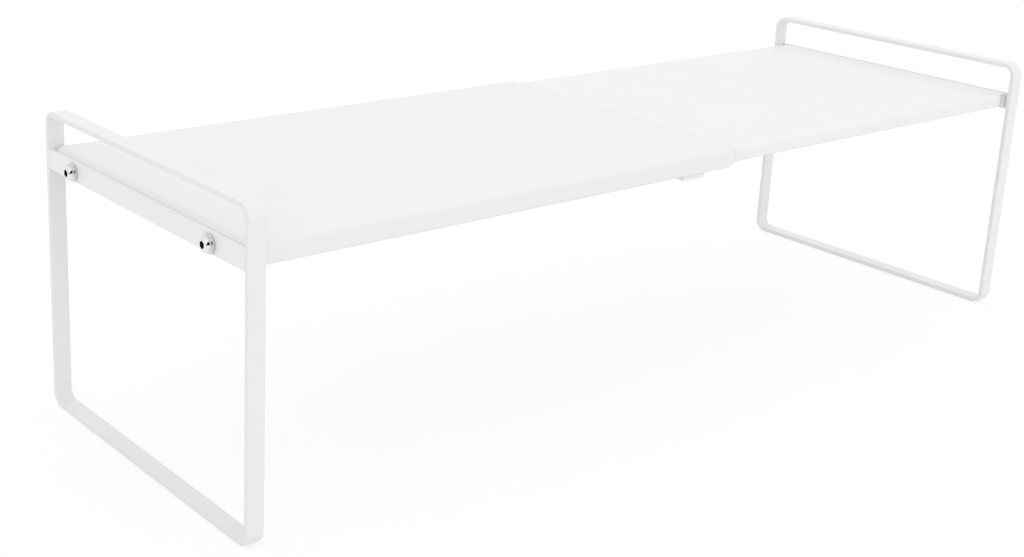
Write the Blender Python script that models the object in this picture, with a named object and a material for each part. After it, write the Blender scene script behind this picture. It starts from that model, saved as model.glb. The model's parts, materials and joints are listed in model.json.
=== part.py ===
# Expandable shelf organizer: two folded sheet panels that slide into each other on two flat-strip leg loops.
# Metres. +X runs towards the right leg, -Y is the front, +Z is up.
# The origin is on the floor, midway between the legs of the fully drawn-out shelf.

import math

import bmesh
import bpy
from mathutils import Vector

# Whole shelf
open_length = 0.756          # between the outer edges of the two legs, fully drawn out
shelf_depth = 0.250          # over the leg loops, front to back
shelf_height = 0.210         # floor to the top of the guard rails
rail_rise = 0.024            # top of the guard rails above the outer panel
mouth_reach = 0.0278         # how far the outer panel runs past the middle, fully drawn out
panel_overlap = 0.0631       # of the two panels, fully drawn out

# Clearances
seat_gap = 0.0003            # between two pieces that touch
upright_gap = 0.0008         # between the outer panel and the uprights that it slides past
side_play = 0.0014           # between the aprons of the two panels
top_play = 0.0009            # between the tops of the two panels
cut_overrun = 0.004          # how far a cutter reaches past what it cuts

# Leg loops of flat strip
strip_width = 0.012
strip_thickness = 0.0035
loop_radius = 0.010          # outside of the corner bends
strip_edge_round = 0.0005

# Cross plates of flat bar, welded between the uprights
plate_height = 0.0135
plate_thickness = 0.003
plate_drop = 0.002           # top of the plate below the top of the outer panel
plate_edge_round = 0.0004

# Folded sheet panels
sheet = 0.0012
outer_height = 0.0150        # top face to the underside of the lips
top_bend = 0.0045            # outside of the bends round the outer panel's top
inner_top_bend = 0.0024      # outside of the bends round the inner panel's top
lip_bend = 0.0025            # outside of the bends down at the lips
outer_lip = 0.0102           # apron's outer face to the lip's free edge
inner_lip = 0.0070
corner_notch = 0.0005        # from the corner of the flat top to the ends of its bends
inner_apron_setback = 0.0102 # the same along the inner panel's aprons, which leaves its corners open
lip_setback = 0.0035         # bare length of apron beyond the lip, at the open end
sheet_corner = 0.0025        # rounding of the sheet's free corners

# Glides of moulded plastic, clipped round the lips
glide_wall = 0.0012
glide_pad = 0.0007           # thickness of the pad that the sheet slides on
mouth_glide_length = 0.0210
tail_glide_length = 0.0133
mouth_glide_foot = 0.0030    # how far the glide hangs under the lip
glide_round = 0.0002
tail_glide_top = 0.0014

# M6 fasteners
screw_inset = 0.040          # from the front or back of the leg to the screw's axis
screw_rise = 0.0064          # from the lower edge of the cross plate to the screws
shank_diameter = 0.006
shank_length = 0.012
head_diameter = 0.0105
head_height = 0.0033
head_rim = 0.0006
socket_flats = 0.004
socket_depth = 0.0021
socket_rim = 0.0026
thread_chamfer = 0.0008
hole_play = 0.0003           # between a shank and its hole, all round
washer_diameter = 0.012
washer_thickness = 0.0016
washer_edge = 0.0002
nut_flats = 0.010
nut_height = 0.005
nut_face_share = 0.95        # of the flats, the round face that the chamfer leaves
nut_chamfer_slope = math.tan(math.radians(30))

# Facets
bend_steps = 8
loop_bend_steps = 12
round_steps = 48
dome_steps = 6
corner_steps = 4
edge_steps = 1
strip_edge_steps = 2
smooth_angle = math.radians(40)
rounded_angle = math.radians(50)

# Sizes that follow
tolerance = seat_gap / 10
deck_height = shelf_height - rail_rise
inner_top = deck_height - sheet - top_play
outer_half = shelf_depth / 2 - strip_thickness - upright_gap
inner_half = outer_half - sheet - side_play
lip_top = deck_height - outer_height + sheet
inner_bottom = lip_top + glide_pad + 2 * seat_gap
inner_height = inner_top - inner_bottom
end_bottom = deck_height - outer_height
plate_top = deck_height - plate_drop
screw_height = plate_top - plate_height + screw_rise
screw_side = shelf_depth / 2 - screw_inset
flange_face = plate_thickness + seat_gap
outer_length = open_length / 2 + mouth_reach - flange_face
inner_length = open_length / 2 - mouth_reach + panel_overlap - flange_face
head_seat = -2 * seat_gap - washer_thickness
nut_seat = flange_face + sheet + seat_gap
hole_radius = shank_diameter / 2 + hole_play


def clear_scene():
    for obj in list(bpy.data.objects):
        bpy.data.objects.remove(obj, do_unlink=True)


def make_material(name, color, roughness, metallic):
    material = bpy.data.materials.new(name)
    material.use_nodes = True
    shader = material.node_tree.nodes['Principled BSDF']
    shader.inputs['Base Color'].default_value = (*color, 1)
    shader.inputs['Roughness'].default_value = roughness
    shader.inputs['Metallic'].default_value = metallic
    return material


def mesh_from(bm, name):
    mesh = bpy.data.meshes.new(name)
    bm.normal_update()
    bm.to_mesh(mesh)
    bm.free()
    mesh.shade_smooth()
    mesh.set_sharp_from_angle(angle=smooth_angle)
    return mesh


def place(name, mesh, material, parent, location=(0, 0, 0), turn=0.0):
    obj = bpy.data.objects.new(name, mesh)
    bpy.context.collection.objects.link(obj)
    obj.parent = parent
    obj.location = location
    obj.rotation_euler = (0, 0, turn)
    obj.data.materials.clear()
    obj.data.materials.append(material)
    return obj


def make_end(name, x, turn):
    """An empty at a leg's outer edge, whose +X points along the shelf to the other leg."""
    end = bpy.data.objects.new(name, None)
    end.empty_display_size = strip_width
    bpy.context.collection.objects.link(end)
    end.location = (x, 0, 0)
    end.rotation_euler = (0, 0, turn)
    return end


# Folded sheet

def find_edges(bm, test):
    return [edge for edge in bm.edges if all(test(vert.co) for vert in edge.verts)]


def near(a, b):
    return abs(a - b) < tolerance


def fold(bm, edges, centre, axis, angle=math.pi / 2):
    """Roll the free edges round a bend line and return the edges at the end of the bend."""
    swept = bmesh.ops.spin(bm, geom=edges, cent=centre, axis=axis, angle=angle,
                           steps=bend_steps, use_duplicate=False)
    return [item for item in swept['geom_last'] if isinstance(item, bmesh.types.BMEdge)]


def run_on(bm, edges, vector):
    """Carry the free edges straight on and return the new ones."""
    grown = bmesh.ops.extrude_edge_only(bm, edges=edges)
    verts = [item for item in grown['geom'] if isinstance(item, bmesh.types.BMVert)]
    bmesh.ops.translate(bm, verts=verts, vec=vector)
    return [item for item in grown['geom'] if isinstance(item, bmesh.types.BMEdge)]


def round_corners(bm, test):
    corners = [vert for vert in bm.verts if len(vert.link_edges) == 2 and test(vert.co)]
    bmesh.ops.bevel(bm, geom=corners, offset=sheet_corner, offset_type='OFFSET',
                    segments=corner_steps, affect='VERTICES')


def folded_panel(name, length, half, top, height, bend, lip, setback):
    """Outer skin of a panel: a flat top, an end folded down, and two aprons with lips turned in.

    The folded end's face is at x = 0 and the open end at x = length.
    """
    bm = bmesh.new()
    edge_y = half - bend
    end_half = edge_y - corner_notch
    apron_start = bend + setback
    lip_end = length - lip_setback
    outline = []
    for side in (-1, 1):
        row = [(x, side * edge_y) for x in (bend, apron_start, lip_end, length)]
        outline += row if side < 0 else row[::-1]
    outline += [(bend, end_half), (bend, -end_half)]
    bm.faces.new([bm.verts.new((x, y, top)) for x, y in outline])

    # The end, folded down between the corner reliefs
    end = find_edges(bm, lambda co: near(co.x, bend) and near(abs(co.y), end_half))
    end = fold(bm, end, (bend, 0, top - bend), (0, -1, 0))
    run_on(bm, end, (0, 0, end_bottom - top + bend))

    # The aprons, then their lips, which stop short of the open end
    bottom = top - height
    for side in (-1, 1):
        apron = find_edges(bm, lambda co: near(co.y, side * edge_y) and co.x > apron_start - seat_gap)
        apron = fold(bm, apron, (0, side * edge_y, top - bend), (-side, 0, 0))
        apron = run_on(bm, apron, (0, 0, bend + lip_bend - height))
        turned = [edge for edge in apron if all(vert.co.x < lip_end + seat_gap for vert in edge.verts)]
        turned = fold(bm, turned, (0, side * (half - lip_bend), bottom + lip_bend), (-side, 0, 0))
        run_on(bm, turned, (0, side * (lip_bend - lip), 0))

    low_edges = (end_bottom, bottom)
    round_corners(bm, lambda co: any(near(co.z, low) for low in low_edges)
                  or (near(co.x, length) and near(co.z, bottom + lip_bend)))
    bmesh.ops.recalc_face_normals(bm, faces=bm.faces)
    if max(bm.faces, key=lambda face: face.calc_area()).normal.z < 0:
        bmesh.ops.reverse_faces(bm, faces=bm.faces)
    return mesh_from(bm, name)


def thicken(obj):
    solidify = obj.modifiers.new('Sheet', 'SOLIDIFY')
    solidify.thickness = sheet
    solidify.offset = -1
    solidify.use_even_offset = True


def cut(obj, cutter):
    boolean = obj.modifiers.new('Cut ' + cutter.name, 'BOOLEAN')
    boolean.operation = 'DIFFERENCE'
    boolean.solver = 'EXACT'
    boolean.object = cutter


# Turned and hexagonal pieces

def circle(radius):
    return lambda angle: radius


def hexagon(flats):
    sixth = math.pi / 3
    return lambda angle: flats / 2 / math.cos((angle + sixth / 2) % sixth - sixth / 2)


def stacked_rings(name, rings, ring_closed):
    """A solid through rings round the X axis, each an outline and an x, or a function of the angle for x."""
    bm = bmesh.new()
    loops = []
    for outline, x in rings:
        loop = []
        for step in range(round_steps):
            angle = 2 * math.pi * step / round_steps
            radius = outline(angle)
            along = x(angle) if callable(x) else x
            loop.append(bm.verts.new((along, radius * math.sin(angle), radius * math.cos(angle))))
        loops.append(loop)
    pairs = list(zip(loops, loops[1:]))
    if ring_closed:
        pairs.append((loops[-1], loops[0]))
    else:
        bm.faces.new(loops[0])
        bm.faces.new(loops[-1])
    for first, second in pairs:
        for step in range(round_steps):
            after = (step + 1) % round_steps
            bm.faces.new((first[step], first[after], second[after], second[step]))
    bmesh.ops.recalc_face_normals(bm, faces=bm.faces)
    return mesh_from(bm, name)


def screw_mesh():
    """Button-head screw with a hexagon socket. x = 0 is the cross plate's outer face, the head is at -x."""
    shank = shank_diameter / 2
    tip = head_seat + shank_length
    crown = head_seat - head_height
    rings = [(circle(shank - thread_chamfer), tip), (circle(shank), tip - thread_chamfer),
             (circle(shank), head_seat), (circle(head_diameter / 2), head_seat)]
    for step in range(dome_steps + 1):
        angle = math.pi / 2 * step / dome_steps
        radius = socket_rim + (head_diameter / 2 - socket_rim) * math.cos(angle)
        rings.append((circle(radius), head_seat - head_rim - (head_height - head_rim) * math.sin(angle)))
    rings += [(hexagon(socket_flats), crown), (hexagon(socket_flats), crown + socket_depth)]
    return stacked_rings('button_head_screw', rings, False)


def washer_mesh():
    back = -seat_gap
    front = back - washer_thickness
    rim = washer_diameter / 2
    rings = [(circle(hole_radius), front), (circle(rim - washer_edge), front),
             (circle(rim), front + washer_edge), (circle(rim), back - washer_edge),
             (circle(rim - washer_edge), back), (circle(hole_radius), back)]
    return stacked_rings('washer', rings, True)


def nut_mesh():
    """Hexagon nut, its corners cut back by a cone at both faces."""
    sides = hexagon(nut_flats)
    face = nut_flats / 2 * nut_face_share
    front = nut_seat
    back = nut_seat + nut_height
    rings = [(circle(hole_radius), front), (circle(face), front),
             (sides, lambda angle: front + (sides(angle) - face) * nut_chamfer_slope),
             (sides, lambda angle: back - (sides(angle) - face) * nut_chamfer_slope),
             (circle(face), back), (circle(hole_radius), back)]
    return stacked_rings('hexagon_nut', rings, True)


# Legs

def loop_mesh():
    """Flat strip bent into an upright rounded rectangle, closed on itself. Its outer edge is at x = 0."""
    bm = bmesh.new()
    half = shelf_depth / 2
    centres = [(half - loop_radius, loop_radius, -1), (half - loop_radius, shelf_height - loop_radius, 0),
               (loop_radius - half, shelf_height - loop_radius, 1), (loop_radius - half, loop_radius, 2)]
    outside = []
    inside = []
    for y, z, quarter in centres:
        for step in range(loop_bend_steps + 1):
            angle = math.pi / 2 * (quarter + step / loop_bend_steps)
            direction = Vector((0, math.cos(angle), math.sin(angle)))
            centre = Vector((0, y, z))
            outside.append(bm.verts.new(centre + direction * loop_radius))
            inside.append(bm.verts.new(centre + direction * (loop_radius - strip_thickness)))
    for index in range(len(outside)):
        after = (index + 1) % len(outside)
        bm.faces.new((outside[index], outside[after], inside[after], inside[index]))
    grown = bmesh.ops.extrude_face_region(bm, geom=list(bm.faces))
    verts = [item for item in grown['geom'] if isinstance(item, bmesh.types.BMVert)]
    bmesh.ops.translate(bm, verts=verts, vec=(strip_width, 0, 0))
    bmesh.ops.recalc_face_normals(bm, faces=bm.faces)
    return mesh_from(bm, 'leg_loop')


def plate_mesh():
    """Flat bar between the uprights, its outer face at x = 0."""
    bm = bmesh.new()
    width = shelf_depth - 2 * strip_thickness - 2 * seat_gap
    bmesh.ops.create_cube(bm, size=1)
    bmesh.ops.scale(bm, verts=bm.verts, vec=(plate_thickness, width, plate_height))
    bmesh.ops.translate(bm, verts=bm.verts, vec=(plate_thickness / 2, 0, plate_top - plate_height / 2))
    return mesh_from(bm, 'cross_plate')


def round_edges(obj, width, segments):
    bevel = obj.modifiers.new('Edges', 'BEVEL')
    bevel.width = width
    bevel.segments = segments
    bevel.limit_method = 'ANGLE'
    bevel.angle_limit = rounded_angle


# Glides

def clip_mesh(name, outline, length):
    """A profile of (distance from the middle of the shelf, height) points, drawn out along +X from x = 0."""
    bm = bmesh.new()
    profile = bm.faces.new([bm.verts.new((0, y, z)) for y, z in outline])
    grown = bmesh.ops.extrude_face_region(bm, geom=[profile])
    verts = [item for item in grown['geom'] if isinstance(item, bmesh.types.BMVert)]
    bmesh.ops.translate(bm, verts=verts, vec=(length, 0, 0))
    bmesh.ops.recalc_face_normals(bm, faces=bm.faces)
    return mesh_from(bm, name)


def mouth_glide_outline():
    """Clip round the outer panel's lip: a foot below it, a web at its free edge and a pad above it."""
    web = outer_half - outer_lip - seat_gap
    back = web - glide_wall
    reach = outer_half - lip_bend
    pad_reach = reach - sheet
    under = lip_top - sheet - seat_gap
    over = lip_top + seat_gap
    return [(back, under - mouth_glide_foot), (reach, under - mouth_glide_foot), (reach, under), (web, under),
            (web, over), (pad_reach, over), (pad_reach, over + glide_pad), (back, over + glide_pad)]


def tail_glide_outline():
    """Clip round the inner panel's lip: a pad below it, on the outer panel's lip, and a jaw above it."""
    web = inner_half - inner_lip - seat_gap
    back = web - glide_wall
    reach = inner_half - lip_bend
    under = inner_bottom - seat_gap
    over = inner_bottom + sheet + seat_gap
    return [(back, under - glide_pad), (reach, under - glide_pad), (reach, under), (web, under),
            (web, over), (reach, over), (reach, over + tail_glide_top), (back, over + tail_glide_top)]


def add_glides(end_name, outline, start, length, material, parent):
    """A front and a rear glide. The rear one is the mirror image of the front one."""
    for side, place_name in ((-1, 'front'), (1, 'rear')):
        name = end_name + '_' + place_name
        mesh = clip_mesh(name, [(side * parent_side[parent.name] * y, z) for y, z in outline], length)
        glide = place(name, mesh, material, parent, (start, 0, 0))
        round_edges(glide, glide_round, edge_steps)


def add_leg(side_name, parent, materials, meshes, panel):
    """The loop, the cross plate and the fasteners of one end, and the holes that the screws pass through."""
    loop = place(side_name + '_leg_loop', meshes['loop'], materials['steel'], parent)
    round_edges(loop, strip_edge_round, strip_edge_steps)
    plate = place(side_name + '_cross_plate', meshes['plate'].copy(), materials['steel'], parent)
    round_edges(plate, plate_edge_round, edge_steps)
    for side, place_name in ((-1, 'front'), (1, 'rear')):
        spot = (0, side * parent_side[parent.name] * screw_side, screw_height)
        fastener = side_name + '_' + place_name
        place(fastener + '_screw', meshes['screw'], materials['chrome'], parent, spot)
        place(fastener + '_washer', meshes['washer'], materials['washer'], parent, spot)
        place(fastener + '_nut', meshes['nut'], materials['zinc'], parent, spot)
        cutter = place(fastener + '_hole', meshes['hole'], materials['zinc'], parent, spot)
        cutter.hide_render = True
        cutter.display_type = 'WIRE'
        cut(plate, cutter)
        cut(panel, cutter)


def hole_mesh():
    rings = [(circle(hole_radius), -cut_overrun), (circle(hole_radius), flange_face + sheet + cut_overrun)]
    return stacked_rings('screw_hole', rings, False)


clear_scene()
materials = {
    'steel': make_material('white_powder_coat', (0.87, 0.87, 0.86), 0.45, 0.0),
    'chrome': make_material('chrome', (0.82, 0.82, 0.84), 0.12, 1.0),
    'washer': make_material('bright_zinc', (0.78, 0.78, 0.80), 0.22, 1.0),
    'zinc': make_material('zinc', (0.66, 0.67, 0.69), 0.35, 1.0),
    'plastic': make_material('white_plastic', (0.84, 0.84, 0.83), 0.50, 0.0),
}
meshes = {
    'loop': loop_mesh(),
    'plate': plate_mesh(),
    'screw': screw_mesh(),
    'washer': washer_mesh(),
    'nut': nut_mesh(),
    'hole': hole_mesh(),
}
left_end = make_end('left_end', -open_length / 2, 0)
right_end = make_end('right_end', open_length / 2, math.pi)
parent_side = {left_end.name: 1, right_end.name: -1}

outer_skin = folded_panel('outer_panel', outer_length, outer_half, deck_height, outer_height,
                          top_bend, outer_lip, corner_notch)
inner_skin = folded_panel('inner_panel', inner_length, inner_half, inner_top, inner_height,
                          inner_top_bend, inner_lip, inner_apron_setback)
outer_panel = place('outer_panel', outer_skin, materials['steel'], left_end, (flange_face, 0, 0))
inner_panel = place('inner_panel', inner_skin, materials['steel'], right_end, (flange_face, 0, 0))
thicken(outer_panel)
thicken(inner_panel)
add_leg('left', left_end, materials, meshes, outer_panel)
add_leg('right', right_end, materials, meshes, inner_panel)


# The glides meet when the shelf is fully drawn out, which stops the slide
tail_glide_start = flange_face + inner_length - tail_glide_length
mouth_glide_start = open_length - tail_glide_start + seat_gap
add_glides('mouth_glide', mouth_glide_outline(), mouth_glide_start, mouth_glide_length,
           materials['plastic'], left_end)
add_glides('tail_glide', tail_glide_outline(), tail_glide_start, tail_glide_length,
           materials['plastic'], right_end)
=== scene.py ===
import json
import math

import bpy
from mathutils import Matrix, Vector


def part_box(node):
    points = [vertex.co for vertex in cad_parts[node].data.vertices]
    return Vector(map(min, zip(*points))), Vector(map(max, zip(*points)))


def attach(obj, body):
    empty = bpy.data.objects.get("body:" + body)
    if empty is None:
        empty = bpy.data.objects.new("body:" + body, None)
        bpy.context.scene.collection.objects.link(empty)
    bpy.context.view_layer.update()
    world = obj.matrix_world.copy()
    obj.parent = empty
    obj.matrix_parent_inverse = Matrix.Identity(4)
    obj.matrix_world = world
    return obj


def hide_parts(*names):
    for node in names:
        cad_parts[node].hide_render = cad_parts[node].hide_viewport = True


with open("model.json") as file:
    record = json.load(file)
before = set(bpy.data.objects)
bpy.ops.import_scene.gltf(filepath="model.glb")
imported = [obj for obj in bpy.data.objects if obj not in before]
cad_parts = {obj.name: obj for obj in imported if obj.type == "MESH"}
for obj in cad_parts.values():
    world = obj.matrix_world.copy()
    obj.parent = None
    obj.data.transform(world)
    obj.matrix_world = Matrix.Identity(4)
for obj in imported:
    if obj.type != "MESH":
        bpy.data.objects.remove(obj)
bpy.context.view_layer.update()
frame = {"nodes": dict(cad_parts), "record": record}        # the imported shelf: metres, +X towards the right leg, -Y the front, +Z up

nodes = frame["nodes"]
print("frame loaded:", len(nodes), "nodes")


# Small helpers for work in edit mode

joinWithin = {"solid": 0.000001, "turned": 0.000002}        # points closer than this become one


def deselectAll():
    if bpy.context.object and bpy.context.object.mode != "OBJECT":
        bpy.ops.object.mode_set(mode="OBJECT")
    bpy.ops.object.select_all(action="DESELECT")


def activate(obj):
    deselectAll()
    obj.select_set(True)
    bpy.context.view_layer.objects.active = obj


def editAll(obj):
    activate(obj)
    bpy.ops.object.mode_set(mode="EDIT")
    bpy.ops.mesh.select_all(action="SELECT")


def pickFaces(obj, test):        # test gets a face's centre and normal
    activate(obj)
    for part in (*obj.data.vertices, *obj.data.edges):
        part.select = False
    for face in obj.data.polygons:
        face.select = bool(test(face.center, face.normal))
    bpy.ops.object.mode_set(mode="EDIT")
    bpy.ops.mesh.select_mode(type="FACE")


def pickEdges(obj, pairs):        # pairs of vertex numbers
    activate(obj)
    bpy.context.tool_settings.mesh_select_mode = (False, True, False)
    for part in (*obj.data.vertices, *obj.data.polygons):
        part.select = False
    for edge in obj.data.edges:
        edge.select = tuple(sorted(edge.vertices)) in pairs
    bpy.ops.object.mode_set(mode="EDIT")


def leaveEdit():
    bpy.ops.object.mode_set(mode="OBJECT")


def applyPlace(obj):
    activate(obj)
    bpy.ops.object.transform_apply(location=True, rotation=True, scale=True)


def applyModifier(obj, kind, name, **settings):
    activate(obj)
    modifier = obj.modifiers.new(name, kind)
    for key, value in settings.items():
        setattr(modifier, key, value)
    bpy.ops.object.modifier_apply(modifier=modifier.name)


def breakEdges(obj, width, degrees):        # a small round on every edge sharper than this angle
    applyModifier(obj, "BEVEL", "SoftEdges", width=width, segments=2, limit_method="ANGLE",
                  angle_limit=math.radians(degrees))


def smoothByAngle(obj, degrees):
    activate(obj)
    bpy.ops.object.shade_smooth_by_angle(angle=math.radians(degrees))


def removeObject(obj):
    mesh = obj.data
    bpy.data.objects.remove(obj, do_unlink=True)
    bpy.data.meshes.remove(mesh)


# Shader node groups that several finishes share; a noise is given as its scale, detail and roughness

def newGroup(name, inputs, outputs):
    group = bpy.data.node_groups.new(name, "ShaderNodeTree")
    for label, kind, value in inputs:
        socket = group.interface.new_socket(name=label, in_out="INPUT", socket_type=kind)
        if value is not None:
            socket.default_value = value
    for label, kind in outputs:
        group.interface.new_socket(name=label, in_out="OUTPUT", socket_type=kind)
    entry = group.nodes.new("NodeGroupInput")
    leave = group.nodes.new("NodeGroupOutput")
    entry.location = (-900, 0)
    leave.location = (700, 0)
    return group, entry, leave


def noiseNode(tree, vector, noise, at):
    node = tree.nodes.new("ShaderNodeTexNoise")
    node.location = at
    for label, value in zip(("Scale", "Detail", "Roughness"), noise):
        node.inputs[label].default_value = value
    tree.links.new(vector, node.inputs["Vector"])
    return node


def mathNode(tree, operation, a, b, at, clamp=False):
    node = tree.nodes.new("ShaderNodeMath")
    node.operation = operation
    node.use_clamp = clamp
    node.location = at
    for socket, value in zip(node.inputs, (a, b)):
        if isinstance(value, (int, float)):
            socket.default_value = value
        else:
            tree.links.new(value, socket)
    return node.outputs[0]


def rangeNode(tree, value, low, high, newLow, newHigh, at):
    node = tree.nodes.new("ShaderNodeMapRange")
    node.location = at
    for label, number in (("From Min", low), ("From Max", high)):
        node.inputs[label].default_value = number
    for label, number in (("To Min", newLow), ("To Max", newHigh)):
        if isinstance(number, (int, float)):
            node.inputs[label].default_value = number
        else:
            tree.links.new(number, node.inputs[label])
    tree.links.new(value, node.inputs["Value"])
    return node.outputs["Result"]


skinNoise = {"wave": (700.0, 1.5, 0.45), "grain": (3200.0, 1.0, 0.5), "grainShare": 0.25}


def makeFineSkin():        # cured coating or moulded skin: rolling waves with a fine grain on them
    look = skinNoise
    group, entry, leave = newGroup("fineSkin", [
        ("Vector", "NodeSocketVector", None),
        ("Wave Scale", "NodeSocketFloat", look["wave"][0]),
        ("Grain Scale", "NodeSocketFloat", look["grain"][0]),
        ("Grain Share", "NodeSocketFloat", look["grainShare"]),
    ], [("Height", "NodeSocketFloat")])
    links = group.links
    wave = noiseNode(group, entry.outputs["Vector"], look["wave"], (-600, 200))
    grain = noiseNode(group, entry.outputs["Vector"], look["grain"], (-600, -100))
    links.new(entry.outputs["Wave Scale"], wave.inputs["Scale"])
    links.new(entry.outputs["Grain Scale"], grain.inputs["Scale"])
    share = mathNode(group, "MULTIPLY", grain.outputs["Fac"], entry.outputs["Grain Share"], (-300, -100))
    total = mathNode(group, "ADD", wave.outputs["Fac"], share, (0, 100))
    links.new(total, leave.inputs["Height"])
    return group


handling = {"cloud": (14.0, 5.0, 0.6), "cover": (0.35, 0.68), "gloss": (0.4, 0.5)}


def makeHandled():        # faint smudges and dust that change the gloss and, very slightly, the tone
    look = handling
    group, entry, leave = newGroup("handled", [
        ("Vector", "NodeSocketVector", None),
        ("Size", "NodeSocketFloat", look["cloud"][0]),
        ("Low", "NodeSocketFloat", look["gloss"][0]),
        ("High", "NodeSocketFloat", look["gloss"][1]),
    ], [("Value", "NodeSocketFloat"), ("Mask", "NodeSocketFloat")])
    links = group.links
    cloud = noiseNode(group, entry.outputs["Vector"], look["cloud"], (-600, 100))
    links.new(entry.outputs["Size"], cloud.inputs["Scale"])
    mask = rangeNode(group, cloud.outputs["Fac"], *look["cover"], 0.0, 1.0, (-300, 100))
    value = rangeNode(group, mask, 0.0, 1.0, entry.outputs["Low"], entry.outputs["High"], (0, 100))
    links.new(value, leave.inputs["Value"])
    links.new(mask, leave.inputs["Mask"])
    return group


edgeBorder = {"reach": 0.001, "soft": 0.0002, "noise": (260.0, 3.0, 0.6), "noiseRange": (0.3, 0.7),
              "ragged": 0.15}


def makePaintedEdgeShade():        # painted shade mask: 1 within Reach of the plane x = Middle, broken up a little along its border
    look = edgeBorder
    group, entry, leave = newGroup("thinEdge", [
        ("Vector", "NodeSocketVector", None),
        ("Middle", "NodeSocketFloat", 0.0),
        ("Reach", "NodeSocketFloat", look["reach"]),
        ("Soft", "NodeSocketFloat", look["soft"]),
    ], [("Mask", "NodeSocketFloat")])
    links = group.links
    spread = group.nodes.new("ShaderNodeSeparateXYZ")
    spread.location = (-700, 0)
    links.new(entry.outputs["Vector"], spread.inputs[0])
    away = mathNode(group, "SUBTRACT", spread.outputs["X"], entry.outputs["Middle"], (-500, 0))
    away = mathNode(group, "ABSOLUTE", away, 0.0, (-350, 0))
    noise = noiseNode(group, entry.outputs["Vector"], look["noise"], (-700, -250))
    ragged = rangeNode(group, noise.outputs["Fac"], *look["noiseRange"], -look["ragged"], look["ragged"],
                       (-500, -250))
    ragged = mathNode(group, "MULTIPLY", ragged, entry.outputs["Reach"], (-350, -250))
    away = mathNode(group, "ADD", away, ragged, (-200, 0))
    inside = mathNode(group, "SUBTRACT", entry.outputs["Reach"], away, (-50, 0))
    mask = mathNode(group, "DIVIDE", inside, entry.outputs["Soft"], (100, 0), clamp=True)
    links.new(mask, leave.inputs["Mask"])
    return group


fineSkin = makeFineSkin()
thinEdge = makePaintedEdgeShade()
handled = makeHandled()


# Finishes; a skin is given as wave scale, grain scale, share of grain, bump strength and depth

def newFinish(name, base, roughness, metallic=0.0, **extra):
    material = bpy.data.materials.new(name)
    material.use_nodes = True
    tree = material.node_tree
    shader = tree.nodes["Principled BSDF"]
    shader.inputs["Base Color"].default_value = (*base, 1)
    shader.inputs["Roughness"].default_value = roughness
    shader.inputs["Metallic"].default_value = metallic
    for label, value in extra.items():
        shader.inputs[label.replace("_", " ")].default_value = value
    place = tree.nodes.new("ShaderNodeTexCoord")
    place.location = (-1300, 0)
    return material, tree, shader, place.outputs["Object"]


def useGroup(tree, group, vector, at, **values):
    node = tree.nodes.new("ShaderNodeGroup")
    node.node_tree = group
    node.location = at
    for label, value in values.items():
        node.inputs[label.replace("_", " ")].default_value = value
    tree.links.new(vector, node.inputs["Vector"])
    return node


def addSmudge(tree, vector, size, gloss):
    return useGroup(tree, handled, vector, (-900, 200), Size=size, Low=gloss[0], High=gloss[1])


def addSkin(tree, shader, vector, skin):
    wave, grain, share, strength, depth = skin
    height = useGroup(tree, fineSkin, vector, (-900, -200), Wave_Scale=wave, Grain_Scale=grain,
                      Grain_Share=share).outputs["Height"]
    bump = tree.nodes.new("ShaderNodeBump")
    bump.location = (-300, -300)
    bump.inputs["Strength"].default_value = strength
    bump.inputs["Distance"].default_value = depth
    tree.links.new(height, bump.inputs["Height"])
    tree.links.new(bump.outputs["Normal"], shader.inputs["Normal"])


def mixColor(tree, factor, a, b, at):        # a is a colour or a socket, b a colour
    node = tree.nodes.new("ShaderNodeMix")
    node.data_type = "RGBA"
    node.location = at
    if isinstance(a, bpy.types.NodeSocket):
        tree.links.new(a, node.inputs["A"])
    else:
        node.inputs["A"].default_value = (*a, 1)
    node.inputs["B"].default_value = (*b, 1)
    tree.links.new(factor, node.inputs["Factor"])
    return node.outputs["Result"]


powderCoat = {
    # painted light: the inner panel's white is a lighter copy of the same coat, standing in for the stronger
    # light on the right end
    "outer": (0.869, 0.869, 0.868), "inner": (0.886, 0.886, 0.885), "loop": (0.868, 0.868, 0.867),
    "roughness": 0.42, "ior": 1.5, "smudge": 16.0, "gloss": (0.36, 0.47),
    "speckle": (1900.0, 3.0, 0.65), "speckleRange": (0.42, 0.72), "thin": 0.965,
    "skin": (620.0, 3600.0, 0.22, 0.35, 0.00006),
    "edgeSoft": 0.0004, "sheetEdge": (0.0016, 0.93), "stripEdge": (0.0005, 0.945),        # reach and tone of the painted edge shade
}


def makePowderCoat(name, white, bands, edgeTone):        # bands: where along X the sheet or strip was sheared, each given a band of painted shade
    look = powderCoat
    material, tree, shader, vector = newFinish(name, white, look["roughness"], IOR=look["ior"])
    smudge = addSmudge(tree, vector, look["smudge"], look["gloss"])
    tree.links.new(smudge.outputs["Value"], shader.inputs["Roughness"])
    speckle = noiseNode(tree, vector, look["speckle"], (-900, 500))
    mask = rangeNode(tree, speckle.outputs["Fac"], *look["speckleRange"], 0.0, 1.0, (-650, 500))
    color = mixColor(tree, mask, white, [part * look["thin"] for part in white], (-400, 400))
    edgeColor = [part * edgeTone for part in white]
    for index, (middle, reach) in enumerate(bands):        # painted shade: the colour darkens in a band along a sheared edge
        thin = useGroup(tree, thinEdge, vector, (-900, 800 + 200 * index), Middle=middle, Reach=reach,
                        Soft=look["edgeSoft"])
        color = mixColor(tree, thin.outputs["Mask"], color, edgeColor, (-200, 500 + 200 * index))
    tree.links.new(color, shader.inputs["Base Color"])
    addSkin(tree, shader, vector, look["skin"])
    return material


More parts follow.
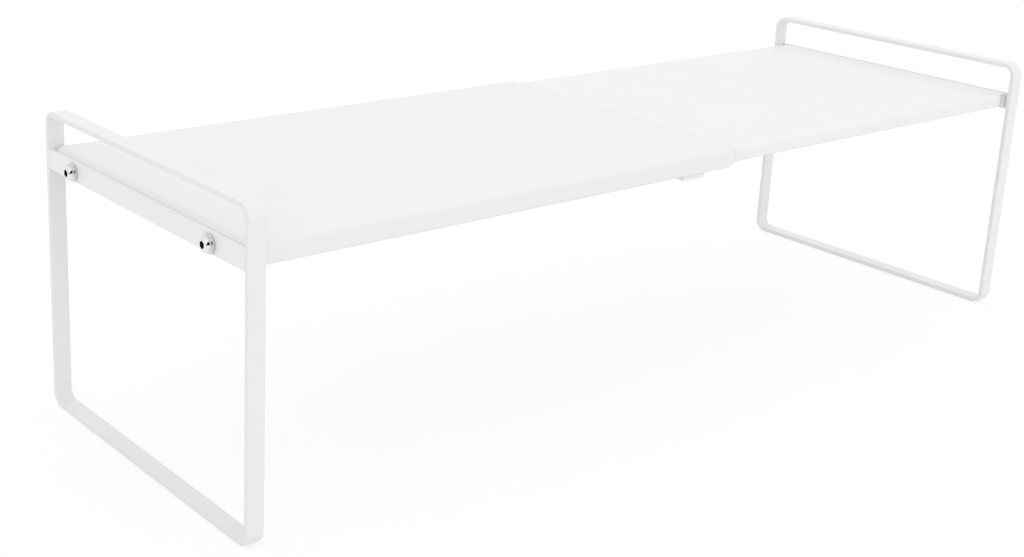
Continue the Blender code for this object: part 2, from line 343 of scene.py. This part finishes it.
brightMetal = {
    "chrome": (0.80, 0.80, 0.815), "chromeRoughness": 0.07, "chromeSmudge": 260.0,
    "chromeGloss": (0.05, 0.11), "chromeSkin": (900.0, 5200.0, 0.3, 0.12, 0.00003),
    "bare": (0.03, 0.03, 0.032), "bareGloss": 0.42, "bareFrom": 0.04,
    "zinc": (0.62, 0.63, 0.65), "zincWarm": (0.61, 0.61, 0.60), "zincSmudge": 420.0,
    "zincGloss": (0.24, 0.38), "zincSkin": (1500.0, 6000.0, 0.6, 0.25, 0.00004),
    "washer": (0.72, 0.725, 0.735), "washerGloss": (0.14, 0.26),
}


def makeChrome():
    look = brightMetal
    material, tree, shader, vector = newFinish("brightChrome", look["chrome"], look["chromeRoughness"],
                                               metallic=1.0)
    smudge = addSmudge(tree, vector, look["chromeSmudge"], look["chromeGloss"])
    recess = tree.nodes.new("ShaderNodeAttribute")        # painted shade: the hex recess darkens to near black with its depth, and turns rougher
    recess.attribute_name = "recess"
    recess.location = (-1300, 500)
    bare = rangeNode(tree, recess.outputs["Fac"], 0.0, look["bareFrom"], 0.0, 1.0, (-1000, 500))
    color = mixColor(tree, bare, look["chrome"], look["bare"], (-400, 400))
    tree.links.new(color, shader.inputs["Base Color"])
    dull = mathNode(tree, "MULTIPLY", bare, look["bareGloss"], (-700, 500))
    rough = mathNode(tree, "ADD", smudge.outputs["Value"], dull, (-500, 200))
    tree.links.new(rough, shader.inputs["Roughness"])
    addSkin(tree, shader, vector, look["chromeSkin"])
    return material


def makeZinc(name, bright, gloss):
    look = brightMetal
    material, tree, shader, vector = newFinish(name, bright, gloss[0], metallic=1.0)
    smudge = addSmudge(tree, vector, look["zincSmudge"], gloss)
    tree.links.new(smudge.outputs["Value"], shader.inputs["Roughness"])
    color = mixColor(tree, smudge.outputs["Mask"], bright, look["zincWarm"], (-400, 400))
    tree.links.new(color, shader.inputs["Base Color"])
    addSkin(tree, shader, vector, look["zincSkin"])
    return material


glidePlastic = {"base": (0.885, 0.885, 0.875), "deep": (0.855, 0.855, 0.843), "roughness": 0.5, "ior": 1.48,
                "smudge": 90.0, "gloss": (0.42, 0.56), "skin": (1200.0, 4200.0, 0.8, 0.3, 0.00005)}


def makePlastic():
    look = glidePlastic
    material, tree, shader, vector = newFinish("glidePlastic", look["base"], look["roughness"],
                                               IOR=look["ior"])
    smudge = addSmudge(tree, vector, look["smudge"], look["gloss"])
    tree.links.new(smudge.outputs["Value"], shader.inputs["Roughness"])
    color = mixColor(tree, smudge.outputs["Mask"], look["base"], look["deep"], (-400, 400))
    tree.links.new(color, shader.inputs["Base Color"])
    addSkin(tree, shader, vector, look["skin"])
    return material


finishes = {
    "white_powder_coat": makePowderCoat("powderCoatLoop", powderCoat["loop"], [], 1.0),
    "chrome": makeChrome(),
    "bright_zinc": makeZinc("brightZinc", brightMetal["washer"], brightMetal["washerGloss"]),
    "zinc": makeZinc("dullZinc", brightMetal["zinc"], brightMetal["zincGloss"]),
    "white_plastic": makePlastic(),
}
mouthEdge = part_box("outer_panel")[1][0]
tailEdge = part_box("inner_panel")[0][0]
sheetReach, sheetTone = powderCoat["sheetEdge"]
stripReach, stripTone = powderCoat["stripEdge"]
coats = {
    "outer_panel": makePowderCoat("powderCoatOuter", powderCoat["outer"],
                                  [(mouthEdge, sheetReach)], sheetTone),
    "inner_panel": makePowderCoat("powderCoatInner", powderCoat["inner"],
                                  [(tailEdge, sheetReach)], sheetTone),
}
for name in ("left_leg_loop", "right_leg_loop"):        # the narrow faces of the strip, darkened with painted shade
    low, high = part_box(name)
    coats[name] = makePowderCoat("powderCoatStrip" + name.split("_")[0].title(), powderCoat["loop"],
                                 [(low[0], stripReach), (high[0], stripReach)], stripTone)
print("finishes made:", len(finishes) + len(coats))


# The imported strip, bar and glides: their faceted solids get soft coated edges and smooth bends

coatedEdge = {"sheet": 0.00022, "strip": 0.0002, "segments": 2, "angle": 32, "level": 0.2, "even": 90}
levelAngle = math.radians(coatedEdge["level"])        # faces that differ by less are one level face
slotOf = {row["node"]: row["material_slot"] for row in frame["record"]["subparts"]}
bodyOf = {node: body for body, members in frame["record"]["behaviour"]["bodies"].items() for node in members}


def softenEdges(obj, width):
    look = coatedEdge
    for face in obj.data.polygons:
        face.use_smooth = True
    join = obj.modifiers.new("Join", "WELD")
    join.merge_threshold = joinWithin["solid"]
    flat = obj.modifiers.new("Flat", "DECIMATE")        # the triangles of a level face become one face
    flat.decimate_type = "DISSOLVE"
    flat.angle_limit = levelAngle
    edge = obj.modifiers.new("Edges", "BEVEL")
    edge.width = width
    edge.segments = look["segments"]
    edge.limit_method = "ANGLE"
    edge.angle_limit = math.radians(look["angle"])
    even = obj.modifiers.new("Even", "WEIGHTED_NORMAL")
    even.weight = look["even"]


for name, obj in nodes.items():
    obj.data.materials.clear()
    obj.data.materials.append(coats.get(name, finishes[slotOf[name]]))
    if not name.endswith(("_screw", "_washer", "_nut", "_panel")):        # these get finer pieces below
        softenEdges(obj, coatedEdge["strip"])
print("strip, bar and glides dressed")


# The folded sheets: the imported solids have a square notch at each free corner, which is filled and rounded

sheetCorner = {"radius": 0.0025, "wall": 0.0012, "slack": 0.00006, "segments": 5}


def findNotches(mesh):        # the edge across the sheet inside each notch, and the way from it to the corner
    look = sheetCorner
    around = {}
    for face in mesh.polygons:
        for pair in face.edge_keys:
            around.setdefault(pair, []).append(face)
    notches = {}
    for pair, faces in around.items():
        start, end = (mesh.vertices[number].co for number in pair)
        if len(faces) != 2 or abs((end - start).length - look["wall"]) > look["slack"]:
            continue
        ways = [2 * (face.center - (start + end) / 2) for face in faces]
        square = all(abs(way.length - look["radius"]) < look["slack"] for way in ways)
        if square and ways[0].dot(faces[1].normal) > 0:        # a corner that goes in, not out
            notches[pair] = ways[0] + ways[1]
    return notches


def makePanel(name):
    look = sheetCorner
    panel = bpy.data.objects.new(name + "_fine", nodes[name].data.copy())
    bpy.context.scene.collection.objects.link(panel)
    panel.data.name = panel.name
    activate(panel)
    bpy.ops.mesh.customdata_custom_splitnormals_clear()
    editAll(panel)
    bpy.ops.mesh.remove_doubles(threshold=joinWithin["solid"])
    bpy.ops.mesh.dissolve_limited(angle_limit=levelAngle)
    leaveEdit()
    notches = findNotches(panel.data)
    for pair, way in notches.items():
        pickEdges(panel, [pair])
        bpy.ops.transform.translate(value=way)
        leaveEdit()
    pickEdges(panel, list(notches))
    bpy.ops.mesh.bevel(offset=look["radius"] - look["slack"], segments=look["segments"], affect="EDGES")
    bpy.ops.mesh.select_all(action="SELECT")
    bpy.ops.mesh.dissolve_limited(angle_limit=levelAngle)
    leaveEdit()
    softenEdges(panel, coatedEdge["sheet"])
    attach(panel, bodyOf[name])
    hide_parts(name)
    print(panel.name, "corners rounded:", len(notches))


for name in ("outer_panel", "inner_panel"):
    makePanel(name)


# Turned shapes: a profile drawn point by point in the XZ plane and spun round the X axis

def drawProfile(name, points):        # points are (x, radius); the shape is left in edit mode
    deselectAll()
    bpy.ops.mesh.primitive_plane_add(size=0.001, location=(0, 0, 0))
    shape = bpy.context.object
    shape.name = shape.data.name = name
    bpy.ops.object.mode_set(mode="EDIT")
    bpy.ops.mesh.select_mode(type="VERT")
    bpy.ops.mesh.select_all(action="SELECT")
    bpy.ops.mesh.merge(type="CENTER")        # the plane becomes the profile's first point
    here = Vector((points[0][0], 0, points[0][1]))
    bpy.ops.transform.translate(value=here)
    for x, radius in points[1:]:
        there = Vector((x, 0, radius))
        bpy.ops.mesh.extrude_region_move(TRANSFORM_OT_translate={"value": there - here})
        here = there
    return shape


def spinProfile(name, points, steps):
    shape = drawProfile(name, points)
    bpy.ops.mesh.select_all(action="SELECT")
    bpy.ops.mesh.spin(steps=steps, angle=math.tau, center=(0, 0, 0), axis=(1, 0, 0))
    bpy.ops.mesh.select_all(action="SELECT")
    bpy.ops.mesh.remove_doubles(threshold=joinWithin["turned"])
    bpy.ops.mesh.normals_make_consistent(inside=False)
    leaveEdit()
    return shape


def cutWith(obj, cutter, operation):
    applyModifier(obj, "BOOLEAN", "Cut", object=cutter, operation=operation, solver="EXACT")
    removeObject(cutter)


cutCleaning = {"sliver": 0.00001, "fineSliver": 0.000002,
               "sortFrom": (0.0137, 0.0291, 0.0173)}        # a point off every line of symmetry


def cleanCut(obj, narrow, flatten=True):        # slivers go, and the pieces of a level face become one face
    bpy.context.scene.cursor.location = cutCleaning["sortFrom"]
    editAll(obj)
    bpy.ops.mesh.sort_elements(type="CURSOR_DISTANCE", elements={"VERT", "EDGE", "FACE"})
    bpy.ops.mesh.dissolve_degenerate(threshold=narrow)        # its result hangs on the order, sorted above
    if flatten:
        bpy.ops.mesh.dissolve_limited(angle_limit=levelAngle)
    leaveEdit()


def hexCorner(flats):        # radius over the corners of a hexagon
    return flats / 2 / math.cos(math.pi / 6)


def hexBar(name, flats, low, high):        # hexagon bar along X with its flats level
    deselectAll()
    bpy.ops.mesh.primitive_cylinder_add(vertices=6, radius=hexCorner(flats), depth=high - low,
                                        location=((low + high) / 2, 0, 0), rotation=(0, math.pi / 2, 0))
    bar = bpy.context.object
    bar.name = bar.data.name = name
    applyPlace(bar)
    return bar


# Fasteners, modelled with the cross plate's outer face at x = 0 and the head towards -X

thread = {"pitch": 0.001, "crest": 0.00296, "root": 0.00242, "turns": 12, "around": 32,
          "tooth": [(0.0, "root"), (0.31, "crest"), (0.44, "crest"), (0.75, "root"), (1.0, "root")],
          "start": 0.0005, "tip": 0.0098,
          "tipWide": 0.0034, "tipNarrow": 0.0022, "tipLead": 0.0009, "tipOver": 0.0002}


def makeThread():
    look = thread
    pitch, tip = look["pitch"], look["tip"]
    points = [(share * pitch - pitch, look[height]) for share, height in look["tooth"]]
    helix = drawProfile("thread", points)
    leaveEdit()
    applyModifier(helix, "SCREW", "Helix", axis="X", screw_offset=pitch, iterations=look["turns"],
                  steps=look["around"], render_steps=look["around"])
    editAll(helix)
    bpy.ops.mesh.remove_doubles(threshold=joinWithin["turned"])
    for place, facing in ((look["start"], -1), (tip, 1)):
        bpy.ops.mesh.select_all(action="SELECT")
        bpy.ops.mesh.bisect(plane_co=(place, 0, 0), plane_no=(facing, 0, 0), use_fill=True, clear_outer=True,
                            threshold=joinWithin["solid"])
    bpy.ops.mesh.select_all(action="SELECT")
    bpy.ops.mesh.normals_make_consistent(inside=False)
    leaveEdit()
    wide, over = look["tipWide"], tip + look["tipOver"]
    point = spinProfile("tipShape", [(0, 0), (0, wide), (tip - look["tipLead"], wide),
                                     (over, look["tipNarrow"]), (over, 0)], look["around"])
    cutWith(helix, point, "INTERSECT")
    return helix


screw = {"crown": -0.0055, "seat": -0.0019, "headRadius": 0.00525, "flatRadius": 0.0028, "rim": 0.0006,
         "socket": 0.0044, "socketDepth": 0.0021, "socketLead": 0.001,
         "drillPoint": 0.0007, "pointShare": 0.1,        # the drill's cone under the hexagon
         "shank": 0.003, "fillet": 0.0002, "shankEnd": 0.0006, "stem": 0.0025, "stemEnd": 0.0009,
         "domeSteps": 14, "around": 64, "edge": (0.00012, 38), "smooth": 32,
         "recessSlack": 0.00001, "recessReach": 1.5, "turns": [27, 38, 52, 21]}        # how each is turned


def makeScrew():
    look = screw
    crown, seat, wide, flat = look["crown"], look["seat"], look["headRadius"], look["flatRadius"]
    shank, fillet = look["shank"], look["fillet"]
    drop = seat - look["rim"] - crown
    points = [(crown, 0)]
    for step in range(look["domeSteps"] + 1):        # quarter of an ellipse from the flat crown to the rim
        angle = math.pi / 2 * step / look["domeSteps"]
        points.append((crown + drop * (1 - math.cos(angle)), flat + (wide - flat) * math.sin(angle)))
    points += [(seat, wide), (seat, shank + fillet), (seat + fillet, shank), (look["shankEnd"], shank),
               (look["stemEnd"], look["stem"]), (look["stemEnd"], 0)]
    piece = spinProfile("screw", points, look["around"])
    bottom = crown + look["socketDepth"]
    deepest = bottom + look["drillPoint"]
    share = look["pointShare"]
    key = hexBar("key", look["socket"], crown - look["socketLead"], bottom)
    pickFaces(key, lambda centre, normal: normal.x > 0.9)
    bpy.ops.mesh.extrude_region_move(TRANSFORM_OT_translate={"value": (look["drillPoint"], 0, 0)})
    bpy.ops.transform.resize(value=(1, share, share), center_override=(deepest, 0, 0))
    leaveEdit()
    cutWith(piece, key, "DIFFERENCE")
    cleanCut(piece, cutCleaning["sliver"])
    breakEdges(piece, *look["edge"])
    recess = piece.data.attributes.new("recess", "FLOAT", "POINT")        # how deep in the recess, 0 to 1, which drives the chrome's painted shade
    inside = hexCorner(look["socket"]) + look["recessSlack"]
    for vert, value in zip(piece.data.vertices, recess.data):
        depth = (vert.co.x - crown) / look["socketDepth"]
        if math.hypot(vert.co.y, vert.co.z) < inside and 0 < depth < look["recessReach"]:
            value.value = min(1, depth)
    cutWith(piece, makeThread(), "UNION")
    cleanCut(piece, cutCleaning["fineSliver"], flatten=False)
    smoothByAngle(piece, look["smooth"])
    return piece


washer = {"radius": 0.006, "hole": 0.0032, "front": -0.0019, "lead": 0.00012, "around": 64, "smooth": 40,
          "roll": [(0, 0.0003), (0.00008, 0.00013), (0.00024, 0.00003), (0.0005, 0)],        # from the front
          "burr": [(-0.00016, 0), (-0.00004, 0.00005), (0, 0.00016)]}        # round the back


def makeWasher():
    look = washer
    wide, hole, front, lead = look["radius"], look["hole"], look["front"], look["lead"]
    points = [(front, hole + lead)]
    points += [(front + along, wide - short) for along, short in look["roll"]]
    points += [(along, wide - short) for along, short in look["burr"]]
    points += [(0, hole + lead), (-lead, hole), (front + lead, hole), points[0]]
    piece = spinProfile("washer", points, look["around"])
    smoothByAngle(piece, look["smooth"])
    return piece


nut = {"flats": 0.010, "front": 0.0045, "back": 0.0098, "face": 0.00475, "reach": 0.0013, "chamfer": 30,
       "bore": 0.00303, "mouth": 0.0035, "leadShare": 0.9, "over": 0.0005, "around": 96, "boreAround": 48,
       "edge": (0.0001, 28), "smooth": 30}


def makeNut():
    look = nut
    front, back, face = look["front"], look["back"], look["face"]
    piece = hexBar("nut", look["flats"], front, back)
    corner = face + look["reach"]
    slope = (corner - face) * math.tan(math.radians(look["chamfer"]))
    barrel = spinProfile("barrel", [(front, 0), (front, face), (front + slope, corner),
                                    (back - slope, corner), (back, face), (back, 0)], look["around"])
    cutWith(piece, barrel, "INTERSECT")
    bore, mouth, over = look["bore"], look["mouth"], look["over"]
    lead = (mouth - bore) * look["leadShare"]
    drill = spinProfile("drill", [(front - over, 0), (front - over, mouth), (front, mouth),
                                  (front + lead, bore), (back - lead, bore), (back, mouth),
                                  (back + over, mouth), (back + over, 0)], look["boreAround"])
    cutWith(piece, drill, "DIFFERENCE")
    cleanCut(piece, cutCleaning["sliver"])
    breakEdges(piece, *look["edge"])
    smoothByAngle(piece, look["smooth"])
    return piece


# Welds: overlapping puddles along the joint of a cross plate and an upright, melted into one bead

weld = {"pitch": 0.0013, "puddles": 9, "size": (0.0010, 0.0017, 0.0012), "tilt": 10,
        "around": 20, "rings": 12, "grain": 0.00016, "flow": 2, "flowShare": 0.5,
        "place": 0.1205, "low": 0.1720, "sink": 0.0001}


def makeWeld():
    look = weld
    deselectAll()
    bpy.ops.mesh.primitive_uv_sphere_add(segments=look["around"], ring_count=look["rings"], radius=1,
                                         location=(0, 0, 0))
    bead = bpy.context.object
    bead.name = bead.data.name = "weld"
    bead.scale = look["size"]
    bead.rotation_euler = (0, math.radians(look["tilt"]), 0)
    applyPlace(bead)
    applyModifier(bead, "ARRAY", "Row", count=look["puddles"], use_relative_offset=False,
                  use_constant_offset=True, constant_offset_displace=(0, 0, look["pitch"]))
    applyModifier(bead, "REMESH", "Melt", mode="VOXEL", voxel_size=look["grain"])
    applyModifier(bead, "SMOOTH", "Flow", factor=look["flowShare"], iterations=look["flow"])
    activate(bead)
    bpy.ops.object.shade_smooth()
    return bead


# Each master is copied to its places; what is modelled for the left end is turned round for the right one

def endTurn(side):
    return Matrix.Rotation(math.pi, 4, "Z") if side > 0 else Matrix()


def placeCopy(master, name, matrix):        # a copy with its own mesh, its place put into the mesh
    piece = master.copy()
    piece.data = master.data.copy()
    piece.name = piece.data.name = name
    bpy.context.scene.collection.objects.link(piece)
    piece.matrix_world = matrix
    bpy.context.view_layer.update()
    applyPlace(piece)
    return piece


def dress(piece, slot, body):
    piece.data.materials.clear()
    piece.data.materials.append(finishes[slot])
    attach(piece, body)


masters = {"screw": makeScrew(), "washer": makeWasher(), "nut": makeNut()}
print("screw, washer and nut modelled")

plateFace = abs(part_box("left_cross_plate")[0][0])
heads = {}        # where each crown is, for the cards that it mirrors
for index, name in enumerate(sorted(name for name in nodes if name.endswith("_screw"))):
    low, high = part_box(name)
    side = 1 if low[0] > 0 else -1
    spot = Vector((side * plateFace, (low[1] + high[1]) / 2, (low[2] + high[2]) / 2))
    turn = endTurn(side)
    stem = name[:-len("screw")]
    heads[stem + "head"] = (spot + turn @ Vector((screw["crown"], 0, 0)), turn)
    for kind, master in masters.items():
        roll = Matrix.Rotation(math.radians(screw["turns"][index]), 4, "X") if kind == "screw" else Matrix()
        piece = placeCopy(master, stem + kind + "_fine", Matrix.Translation(spot) @ turn @ roll)
        dress(piece, slotOf[stem + kind], bodyOf[stem + kind])
        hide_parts(stem + kind)
for master in masters.values():
    removeObject(master)
print("fasteners in place")

bead = makeWeld()
for side, body in ((-1, bodyOf["left_cross_plate"]), (1, bodyOf["right_cross_plate"])):
    for end in (-1, 1):
        spot = Vector((side * (plateFace - weld["sink"]), end * weld["place"], weld["low"]))
        name = "weld_" + ("right" if side > 0 else "left") + ("_rear" if end > 0 else "_front")
        dress(placeCopy(bead, name, Matrix.Translation(spot) @ endTurn(side)), "white_powder_coat", body)
removeObject(bead)
print("welds in place")


# Floor, light and camera

studio = {"floorSize": 16.0, "floorDrop": 0.0003, "worldFill": 0.93,
          "floorWhite": 0.685, "floorShade": 0.34, "floorBounce": 0.95}


def stageFactor(tree, at):        # 1 for what the camera, mirrors and glass see
    path = tree.nodes.new("ShaderNodeLightPath")
    path.location = at
    seen = mathNode(tree, "MAXIMUM", path.outputs["Is Camera Ray"], path.outputs["Is Glossy Ray"],
                    (at[0] + 200, at[1]))
    return mathNode(tree, "MAXIMUM", seen, path.outputs["Is Transmission Ray"], (at[0] + 400, at[1]))


def openBehind(tree, shader, leave):        # from its back the surface isn't there
    side = tree.nodes.new("ShaderNodeNewGeometry")
    clear = tree.nodes.new("ShaderNodeBsdfTransparent")
    sided = tree.nodes.new("ShaderNodeMixShader")
    tree.links.new(side.outputs["Backfacing"], sided.inputs["Fac"])
    tree.links.new(shader.outputs[0], sided.inputs[1])
    tree.links.new(clear.outputs[0], sided.inputs[2])
    tree.links.new(sided.outputs[0], leave.inputs["Surface"])


def makeFloor():
    deselectAll()
    bpy.ops.mesh.primitive_plane_add(size=studio["floorSize"], location=(0, 0, -studio["floorDrop"]))
    floor = bpy.context.object
    floor.name = "floor"
    material = bpy.data.materials.new("paleFloor")
    material.use_nodes = True
    tree = material.node_tree
    tree.nodes.clear()
    leave = tree.nodes.new("ShaderNodeOutputMaterial")
    bounce = tree.nodes.new("ShaderNodeBsdfDiffuse")        # what lights the shelf from below
    bounce.inputs["Color"].default_value = (*[studio["floorBounce"]] * 3, 1)
    shade = tree.nodes.new("ShaderNodeBsdfDiffuse")        # what shows the shadow
    shade.inputs["Color"].default_value = (*[studio["floorShade"]] * 3, 1)
    glow = tree.nodes.new("ShaderNodeEmission")
    glow.inputs["Strength"].default_value = studio["floorWhite"]
    both = tree.nodes.new("ShaderNodeAddShader")
    pick = tree.nodes.new("ShaderNodeMixShader")
    tree.links.new(shade.outputs[0], both.inputs[0])
    tree.links.new(glow.outputs[0], both.inputs[1])
    tree.links.new(stageFactor(tree, (-900, 300)), pick.inputs["Fac"])
    tree.links.new(bounce.outputs[0], pick.inputs[1])
    tree.links.new(both.outputs[0], pick.inputs[2])
    openBehind(tree, pick, leave)        # for a view from below
    floor.data.materials.append(material)


def makeWorld():
    world = bpy.data.worlds.new("paleStudio")
    world.use_nodes = True
    bpy.context.scene.world = world
    tree = world.node_tree
    back = tree.nodes["Background"]
    back.inputs["Color"].default_value = (1, 1, 1, 1)
    strength = rangeNode(tree, stageFactor(tree, (-900, 0)), 0.0, 1.0, studio["worldFill"], 1.0, (-200, 0))
    tree.links.new(strength, back.inputs["Strength"])


cardLook = {"distance": 0.022, "black": (0.02, 0.02, 0.02), "roughness": 0.9}
darkCards = {        # small black cards that the bright heads mirror: azimuth, elevation, half angles, ends
    "patch": (-103, 20, 24, 19, ("left",)),
    "band": (-140, 5, 24, 6, ("left", "right")),
}


def makeDarkCards():
    look = cardLook
    material = bpy.data.materials.new("blackCard")
    material.use_nodes = True
    tree = material.node_tree
    shader = tree.nodes["Principled BSDF"]
    openBehind(tree, shader, tree.nodes["Material Output"])        # the satin plate mirrors only their backs
    shader.inputs["Base Color"].default_value = (*look["black"], 1)
    shader.inputs["Roughness"].default_value = look["roughness"]
    shader.inputs["Specular IOR Level"].default_value = 0.0
    for head, (spot, turn) in heads.items():
        for kind, (azimuth, elevation, wide, tall, ends) in darkCards.items():
            if not head.startswith(ends):
                continue
            deselectAll()
            around, climb = math.radians(azimuth), math.radians(elevation)
            way = Vector((math.cos(climb) * math.cos(around), math.cos(climb) * math.sin(around),
                          math.sin(climb)))
            away = turn.to_3x3() @ way
            bpy.ops.mesh.primitive_plane_add(size=2 * look["distance"],
                                             location=spot + away * look["distance"])
            card = bpy.context.object
            card.name = "card_" + kind + "_" + head
            card.scale = (math.tan(math.radians(wide)), math.tan(math.radians(tall)), 1)
            card.rotation_euler = (-away).to_track_quat("Z", "Y").to_euler()
            card.data.materials.append(material)
            for ray in ("camera", "diffuse", "transmission", "volume_scatter", "shadow"):
                setattr(card, "visible_" + ray, False)


softboxes = [        # name, place, aims at, width and height, power
    ("overheadSoftbox", (0.8, 0.4, 2.2), (0.1, 0.0, 0.15), (2.4, 2.0), 4.2),
    ("frontSoftbox", (0.6, -2.5, 0.8), (0.1, 0.0, 0.12), (2.2, 1.2), 3.2),
    ("leftSoftbox", (-1.9, -0.9, 1.3), (-0.3, 0.0, 0.10), (1.8, 1.2), 2.0),
]


def makeSoftbox(name, place, target, size, power):
    data = bpy.data.lights.new(name, "AREA")
    data.shape = "RECTANGLE"
    data.size, data.size_y = size
    data.energy = power
    lamp = bpy.data.objects.new(name, data)
    bpy.context.scene.collection.objects.link(lamp)
    lamp.location = place
    lamp.rotation_euler = (Vector(target) - Vector(place)).to_track_quat("-Z", "Y").to_euler()


shot = {"place": (-0.81677, -0.81775, 0.46435), "yaw": 39.0, "pitch": 16.77, "roll": 2.21,
        "focal": 1577.22, "centre": (424.39, 196.37), "frame": (1024, 557),        # in the picture's pixels
        "sensor": 36, "clip": (0.02, 60)}


def makeCamera():
    data = bpy.data.cameras.new("camera")
    camera = bpy.data.objects.new("camera", data)
    bpy.context.scene.collection.objects.link(camera)
    yaw, pitch, roll = (math.radians(shot[key]) for key in ("yaw", "pitch", "roll"))
    ahead = Vector((math.sin(yaw) * math.cos(pitch), math.cos(yaw) * math.cos(pitch), -math.sin(pitch)))
    level = Vector((math.cos(yaw), -math.sin(yaw), 0))
    upright = level.cross(ahead)
    right = level * math.cos(roll) + upright * math.sin(roll)
    up = upright * math.cos(roll) - level * math.sin(roll)
    camera.matrix_world = Matrix.LocRotScale(
        Vector(shot["place"]), Matrix((right, up, -ahead)).transposed().to_quaternion(), None)
    wide, tall = shot["frame"]
    data.sensor_width = shot["sensor"]
    data.lens = shot["focal"] / wide * data.sensor_width
    data.shift_x = (wide / 2 - shot["centre"][0]) / wide
    data.shift_y = (shot["centre"][1] - tall / 2) / wide
    data.clip_start, data.clip_end = shot["clip"]
    bpy.context.scene.camera = camera


makeFloor()
makeWorld()
makeDarkCards()
for row in softboxes:
    makeSoftbox(*row)
makeCamera()
bpy.context.scene.view_settings.view_transform = "Standard"
print("studio set")

deselectAll()
